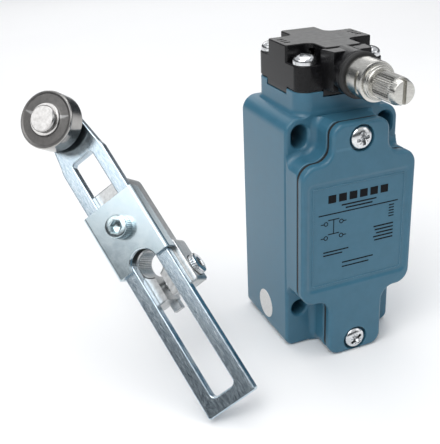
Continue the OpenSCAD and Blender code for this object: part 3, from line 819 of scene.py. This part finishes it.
def make_shaft():
    """Journal, serrated end and slotted tip. The serrations are fine straight teeth."""
    teeth, per_tooth = 40, 4
    profile = [(0.2, 4.2), (2.8, 4.2), (3.0, 4.4), (3.0, 25.0), (4.4, 25.0), (4.4, 51.9), (4.3, 52.0),
               (3.72, 52.02), (3.72, 52.7)]
    first = len(profile)
    profile += [(3.8, 52.75), (4.0, 53.3), (4.0, 59.8), (3.98, 60.4)]
    last = len(profile)
    profile += [(3.72, 61.0), (3.45, 62.4), (3.25, 62.75), (2.9, 62.8), (0.2, 62.8)]

    def serration(k, i):
        if not first < k < last:
            return 0.0
        return -0.26 * abs((i % per_tooth) / (per_tooth / 2) - 1) ** 0.8

    shaft = lathe("operating_shaft", profile, shaft_frame(), teeth * per_tooth, wobble=serration)
    slot = block("slot", (-0.6, -70, SHAFT_Z - 5), (0.6, -61.2, SHAFT_Z + 5))
    dimple = lathe("dimple", [(0.05, 62.1), (0.7, 62.9), (0.7, 64)], shaft_frame(), 24)
    combine(shaft, [slot, dimple])
    return finished(shaft, "shaft_body", SKINS["stainless"], ["shaft"], 28)


def make_collar():
    profile = [(4.42, 50.12), (4.9, 50.12), (5.0, 50.22), (5.0, 51.1), (4.92, 51.25), (4.75, 51.3),
               (4.7, 51.85), (4.6, 51.98), (4.42, 51.98)]
    collar = lathe("shaft_thrust_collar", profile, shaft_frame(), 72, closed=True)
    return finished(collar, "shaft_body", SKINS["stainless"], ["thrust_collar"], 30)


# ---------------------------------------------------------------- springs
def coil(name, r, wire, z0, z1, turns, x, y, body, node):
    """A helical spring of round wire between two heights, its end coils closed."""
    steps, ring_steps = int(turns * 28), 10
    verts, faces = [], []
    for k in range(steps + 1):
        share = k / steps
        angle = share * turns * 2 * math.pi
        eased = min(1.0, max(0.0, (share * turns - 0.75) / (turns - 1.5)))
        z = z0 + wire / 2 + (z1 - z0 - wire) * eased
        for i in range(ring_steps):
            a = 2 * math.pi * i / ring_steps
            radius = r - wire / 2 + wire / 2 * math.cos(a)
            verts.append((x + radius * math.cos(angle), y + radius * math.sin(angle),
                          z + wire / 2 * math.sin(a)))
    for k in range(steps):
        for i in range(ring_steps):
            a, b = k * ring_steps + i, k * ring_steps + (i + 1) % ring_steps
            faces.append((a, b, b + ring_steps, a + ring_steps))
    faces.append(tuple(range(ring_steps))[::-1])
    faces.append(tuple(steps * ring_steps + i for i in range(ring_steps)))
    spring = new_object(name, verts, faces)
    outwards(spring)
    return finished(spring, body, SKINS["spring_steel"], [node], 60)


def make_springs():
    low, high = box_mm("return_spring")
    returning = coil("plunger_return_coil", 4.5, 1.0, low.z, high.z, 5.5, 0, HEAD_Y, "root", "return_spring")
    low, high = box_mm("carriage_spring")
    lifting = coil("carriage_coil", 2.25, 0.6, low.z, high.z, 9, 0, -18, "root", "carriage_spring")
    low, high = box_mm("contact_spring")
    coil("contact_coil", 2.0, 0.5, low.z, high.z, 5, 0, -22, "carriage_body", "contact_spring")
    for spring, joint in ((returning, "plunger_slide"), (lifting, "carriage_slide")):
        low = min((spring.matrix_world @ v.co).z for v in spring.data.vertices)
        high = max((spring.matrix_world @ v.co).z for v in spring.data.vertices)
        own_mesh(spring)


# ---------------------------------------------------------------- sticker
def make_sticker():
    low, high = box_mm("inspection_sticker")
    middle = (low + high) / 2
    turn = Matrix.Rotation(math.radians(-90), 4, "Y")
    here = at(high.x, middle.y, middle.z, turn)
    disc = stack("round_sticker", circle(5.05, 0, 0, 64), rounded(0.0, 0.1, 0, 0.04, 3), (), here)
    finished(disc, "root", SKINS["sticker_film"], ["inspection_sticker"], 50)


# ---------------------------------------------------------------- lever
ARM_Z, ARM_T = 0.15, 3.0
ARM_HW, SLOT_HW = 8.55, 4.15
ARM_LENGTH = 105.0
ARM_END = ROLLER_Y - ARM_LENGTH
TAPER_Y = ROLLER_Y - 14.0
BRACKET_Z, BRACKET_T, BRACKET_HW, BRACKET_H = 3.3, 1.5, 9.9, 23.4
BRACKET_SCREW_Y = 13.8
CLAMP_Y, CLAMP_Z = -7.5, -5.6
ROLLER_Z, ROLLER_R, ROLLER_W = 5.1, 9.5, 7.0
EAR_HW, HUB_HW, HUB_LOW, HUB_TOP = 10.3, 8.4, -12.6, 29.4


def make_arm():
    outline = tidy(both_sides(
        arc(0, ROLLER_Y, 6.2, 90, 15, 14) + arc(ARM_HW - 6, TAPER_Y - 1.2, 6, 24, 0, 5)
        + arc(ARM_HW - 0.8, ARM_END + 0.8, 0.8, 0, -90, 5)))
    slot = panel(SLOT_HW, ARM_END + 4.6, TAPER_Y, 1.6, 1.2, 6)
    arm = stack("slotted_arm", outline, rounded(ARM_Z, ARM_Z + ARM_T, 0.25, 0.4, 4),
                [slot, circle(3.0, 0, ROLLER_Y, 40)], LEVER)
    return finished(arm, "arm_body", SKINS["zinc_plate"], ["lever_arm"], 32)


def make_bracket():
    """A folded plate: its section is bent round the arm's edges, then the holes are cut."""
    top = BRACKET_Z + BRACKET_T
    bend = 1.1
    lip_r, lip_end = 0.35, -1.0
    outer = arc(BRACKET_HW - bend, top - bend, bend, 90, 0, 8)
    outer += arc(BRACKET_HW - lip_r, lip_end + lip_r, lip_r, 0, -90, 3)
    inner_hw = ARM_HW + 0.25
    inner = [(inner_hw, lip_end), (inner_hw, BRACKET_Z - 0.05), (inner_hw - 0.05, BRACKET_Z)]
    section = tidy(both_sides(outer + inner))
    along = LEVER @ Matrix.Rotation(math.radians(90), 4, "X")
    plate = stack("folded_bracket", section, rounded(-BRACKET_H, -0.1, 0.15, 0.15, 3), (), along)
    lip = [(BRACKET_Z - 2, 0), (top - 0.3, 0), (top + 0.02, 0.3), (top + 1, 0.32)]
    bore = stack("bore", circle(4.7, 0, 0, 48), lip, (), LEVER)
    notch = block("notch", (-1.2, -2.5, BRACKET_Z - 2), (1.2, 0.5, top + 1), LEVER)
    hole = cylinder("hole", 2.6, BRACKET_Z - 2, top + 1, 0, BRACKET_SCREW_Y, LEVER, 32)
    combine(plate, [bore, notch, hole])
    return finished(plate, "hub_body", SKINS["zinc_smooth"], ["clamp_bracket"], 30)


def make_hub():
    spine = stack("lever_hub_casting", panel(HUB_HW, HUB_LOW, HUB_TOP, 1, 3, 8),
                  rounded(-HUB_T, -0.02, 0.6, 0.5, 4), (), LEVER)
    ears = stack("ears", panel(EAR_HW, HUB_LOW + 0.02, 3, 1, 1.5, 6),
                 rounded(-HUB_T + 0.02, -1.32, 0.6, 0.5, 4), (), LEVER)
    lug = block("lug", (-4.4, HUB_LOW - 3, -HUB_T + 0.04), (-1.3, HUB_LOW + 1, -HUB_T + 3), LEVER, 0.3)
    combine(spine, [ears, lug], "UNION")
    teeth, per_tooth = 40, 4
    bore = []
    for i in range(teeth * per_tooth):
        a = 2 * math.pi * i / (teeth * per_tooth)
        r = 4.07 + 0.24 * abs((i % per_tooth) / (per_tooth / 2) - 1)
        bore.append((r * math.cos(a), r * math.sin(a)))
    tools = [stack("bore", tidy(bore), rounded(-HUB_T - 1, 1), (), LEVER),
             stack("chamfer", circle(4.3, 0, 0, 48), [(-0.5, 0), (0.5, 0.9)], (), LEVER),
             block("slit", (-1.1, HUB_LOW - 1, -HUB_T - 1), (1.1, -2, 1), LEVER),
             cylinder("thread", 2.6, -7.5, 2, 0, BRACKET_SCREW_Y, LEVER, 32)]
    across = LEVER @ at(0, CLAMP_Y, CLAMP_Z, ALONG_X)
    tools += [cylinder("clamp_hole", 2.1, -20, 20, 0, 0, across, 32),
              cylinder("clamp_seat", 3.8, EAR_HW - 2, EAR_HW + 5, 0, 0, across, 48),
              block("nut_pocket", (-EAR_HW - 1, CLAMP_Y - 3.6, CLAMP_Z - 3.6),
                    (-EAR_HW + 3.3, CLAMP_Y + 3.6, CLAMP_Z + 3.6), LEVER)]
    for y0, y1 in ((7.0, 11.0), (16.5, 25.5)):
        tools.append(stack("pocket", panel(HUB_HW - 2.4, y0, y1, 0.8, 0.8, 4),
                           [(-HUB_T - 1, 0.2), (-HUB_T + 2.2, -0.2)], (), LEVER))
    combine(spine, tools)
    return finished(spine, "hub_body", SKINS["cast_zinc"], ["lever_hub"], 30)


def make_lever_screws():
    across = LEVER @ at(EAR_HW - 2, CLAMP_Y, CLAMP_Z, ALONG_X)
    clamp = socket_head("hub_clamp_screw", 4, 7, 4, 3, 17.9, across)
    finished(clamp, "hub_body", SKINS["bright_zinc"], ["clamp_screw"], 30)
    top = LEVER @ at(0, BRACKET_SCREW_Y, BRACKET_Z + BRACKET_T)
    holding = socket_head("bracket_cap_screw", 5, 7.4, 4, 3.6, 11.4, top)
    finished(holding, "hub_body", SKINS["blue_zinc"], ["bracket_screw"], 30)


def make_clamp_nut():
    half = 3.5
    outline = [(-half, -half), (half, -half), (half, half), (-half, half)]
    nut = stack("hub_square_nut", outline, rounded(0, 3.2, 0.25, 0.25, 3), [circle(2.02, 0, 0, 32)],
                LEVER @ at(-EAR_HW + 0.1, CLAMP_Y, CLAMP_Z, ALONG_X))
    return finished(nut, "hub_body", SKINS["bright_zinc"], ["clamp_nut"], 30)


def roller_frame(z=0.0):
    return LEVER @ at(0, ROLLER_Y, z)


def make_roller():
    r, w = ROLLER_R, ROLLER_W
    profile = [(4.52, 0.1), (4.7, 0), (8.9, 0), (9.2, 0.08), (r - 0.08, 0.35), (r, 0.6), (r, w - 0.6),
               (r - 0.08, w - 0.35), (9.2, w - 0.08), (8.95, w), (8.5, w - 0.06), (8.3, w - 0.16),
               (5.9, w - 0.16), (5.6, w - 0.05), (4.7, w - 0.02), (4.52, w - 0.15)]
    roller = lathe("lever_roller", profile, roller_frame(ROLLER_Z), 96, closed=True)
    finished(roller, "roller_body", SKINS["roller_face"], ["roller"], 24)
    tread = skin("roller_tread", (0.33, 0.32, 0.31), (0.48, 0.47, 0.45), 0.16, 1.0, grain=700, fine=2600,
                 bump=0.12, stretch=LATHED_Z)
    roller.data.materials.append(tread)
    for face in roller.data.polygons:
        out = Vector((face.center.x, face.center.y)).length
        if out > (r - 0.3) * MM and abs(face.normal.z) < 0.75:
            face.material_index = 1


def make_roller_pin():
    head = ROLLER_Z + ROLLER_W + 0.7
    profile = [(0.2, ARM_Z + 0.02), (2.98, ARM_Z + 0.02), (2.98, head), (4.3, head), (4.4, head + 0.12),
               (4.4, head + 0.75), (4.25, head + 1.1), (3.95, head + 1.38), (0.2, head + 1.4)]
    pin = lathe("roller_rivet_pin", profile, roller_frame(), 72)
    return finished(pin, "arm_body", SKINS["pin_steel"], ["roller_pin"], 26)


def make_roller_bush():
    profile = [(3.06, 0.0), (4.48, 0.0), (4.48, 7.02), (5.2, 7.02), (5.3, 7.12), (5.3, 7.45),
               (5.15, 7.6), (3.06, 7.6)]
    bush = lathe("roller_sleeve", profile, roller_frame(ROLLER_Z), 72, closed=True)
    return finished(bush, "roller_body", SKINS["pin_steel"], ["roller_bush"], 26)


def make_roller_washer():
    low = ARM_Z + ARM_T + 0.02
    profile = [(3.02, low), (5.8, low), (6.0, low + 0.18), (6.0, 4.75), (5.8, 4.95), (3.02, 4.95)]
    washer = lathe("roller_spacer", profile, roller_frame(), 64, closed=True)
    return finished(washer, "arm_body", SKINS["dark_steel"], ["roller_washer"], 26)


# ---------------------------------------------------------------- contact block, seen once the cover is off
def make_terminal_screws():
    low, high = box_mm("terminal_screws")
    radius = 2.8
    spots = [(x, z) for x in (low.x + radius, high.x - radius) for z in (low.z + radius, high.z - radius)]
    places = [at(x, low.y + 2.2, z, FORWARD) @ turned(15 + 31 * k) for k, (x, z) in enumerate(spots)]
    screw = pan_head("screw", 3.3, 5.6, 2.2, 8.8)
    finished(copies("terminal_screw_set", screw, places), "root", SKINS["bright_zinc"],
             ["terminal_screws"], 32)
    ground = box_mm("ground_screw")
    middle = (ground[0] + ground[1]) / 2
    place = at(middle.x, ground[0].y + 2.4, middle.z, FORWARD) @ turned(20)
    earth = copies("earth_screw", pan_head("earth", 3.9, 7, 2.4, 3.9), [place])
    finished(earth, "root", SKINS["green_zinc"], ["ground_screw"], 32)


CARRIED_OVER = {
    "cover_gasket": "rubber", "head_gasket": "rubber", "retaining_ring": "spring_steel", "cam": "stainless",
    "plunger": "stainless", "plunger_guide": "brass", "contact_base": "ivory_plastic",
    "contact_lid": "grey_plastic", "fixed_contacts": "brass", "terminal_clamps": "bright_zinc",
    "block_screws": "bright_zinc", "contact_carriage": "grey_plastic", "contact_bridge": "brass",
}


def dress_cad_nodes():
    for node, name in CARRIED_OVER.items():
        obj = frame["nodes"][node]
        obj.data.materials.clear()
        obj.data.materials.append(SKINS[name])


# ---------------------------------------------------------------- studio
def aim(obj, place, target):
    obj.location = place
    obj.rotation_euler = (Vector(target) - Vector(place)).to_track_quat("-Z", "Y").to_euler()


def softbox(name, place, target, width, height, power):
    data = bpy.data.lights.new(name, "AREA")
    data.shape = "RECTANGLE"
    data.size, data.size_y, data.energy = width, height, power
    lamp = bpy.data.objects.new(name, data)
    bpy.context.scene.collection.objects.link(lamp)
    aim(lamp, place, target)


def make_studio():
    floor_z = CAD_BOUNDS[0].z
    far = 4000
    floor = stack("studio_floor", [(-far, -far), (far, -far), (far, far), (-far, far)],
                  rounded(-5, 0), (), Matrix.Translation((0, 0, floor_z - 0.0001)))
    pale = skin("floor_white", (0.95, 0.95, 0.95), (0.97, 0.97, 0.97), 0.9, grain=4, fine=40, bump=0.02)
    floor.data.materials.append(pale)

    world = bpy.data.worlds.new("studio")
    bpy.context.scene.world = world
    world.use_nodes = True
    nodes, links = world.node_tree.nodes, world.node_tree.links
    nodes.clear()
    out = nodes.new("ShaderNodeOutputWorld")
    glow = nodes.new("ShaderNodeBackground")
    where = nodes.new("ShaderNodeTexCoord")
    split = nodes.new("ShaderNodeSeparateXYZ")
    height = nodes.new("ShaderNodeMapRange")
    height.inputs["From Min"].default_value = -0.1
    height.inputs["From Max"].default_value = 1.0
    ramp = nodes.new("ShaderNodeValToRGB")
    tones = ramp.color_ramp.elements
    tones[0].position, tones[0].color = 0.10, (0.05, 0.06, 0.07, 1)
    tones[1].position, tones[1].color = 0.80, (0.55, 0.56, 0.58, 1)
    for position, value in ((0.38, 0.06), (0.50, 0.60)):
        step = tones.new(position)
        step.color = (value, value * 1.02, value * 1.05, 1)
    links.new(where.outputs["Generated"], split.inputs["Vector"])
    links.new(split.outputs["Z"], height.inputs["Value"])
    links.new(height.outputs["Result"], ramp.inputs["Fac"])
    links.new(ramp.outputs["Color"], glow.inputs["Color"])
    links.new(glow.outputs["Background"], out.inputs["Surface"])

    middle = (0.0, -0.02, 0.0)
    softbox("key", (-0.45, -0.35, 0.75), middle, 0.5, 0.5, 3.2)
    softbox("fill", (0.75, -0.55, 0.35), middle, 0.5, 0.7, 1.0)
    softbox("side", (-0.72, -0.23, 0.50), middle, 0.7, 0.36, 1.0)
    softbox("top", (0.05, 0.10, 0.9), middle, 0.8, 0.8, 3.0)
    softbox("rim", (0.2, 0.8, 0.35), middle, 0.8, 0.3, 1.0)
    bpy.context.scene.view_settings.view_transform = "Standard"


SENSOR_MM = 36.0
FOCAL_IN_PIXELS = 746.44
IMAGE_WIDTH = 440


def make_camera():
    """The photograph's viewpoint: behind its lens the object keeps the photograph's perspective."""
    place = Vector((-0.1148, -0.2218, 0.1049))
    forward = Vector((0.353, 0.851, -0.389)).normalized()
    right = Vector((0.918, -0.395, -0.031))
    right = (right - forward * right.dot(forward)).normalized()
    up = right.cross(forward)
    data = bpy.data.cameras.new("camera")
    data.sensor_fit = "HORIZONTAL"
    data.sensor_width = SENSOR_MM
    data.lens = SENSOR_MM * FOCAL_IN_PIXELS / IMAGE_WIDTH
    data.shift_x = -0.039
    data.shift_y = -0.082
    data.clip_start, data.clip_end = 0.01, 20
    camera = bpy.data.objects.new("camera", data)
    bpy.context.scene.collection.objects.link(camera)
    rotation = Matrix([[right[i], up[i], -forward[i]] for i in range(3)]).to_4x4()
    camera.matrix_world = Matrix.Translation(place) @ rotation
    bpy.context.scene.camera = camera


make_camera()
make_studio()
make_housing()
make_conduit_thread()
make_cover()
make_print()
make_cover_screws()
make_head()
make_head_marks()
make_head_screws()
make_bush()
make_seal()
make_shaft()
make_collar()
make_springs()
make_sticker()
make_arm()
make_bracket()
make_hub()
make_lever_screws()
make_clamp_nut()
make_roller()
make_roller_pin()
make_roller_bush()
make_roller_washer()
make_terminal_screws()
dress_cad_nodes()
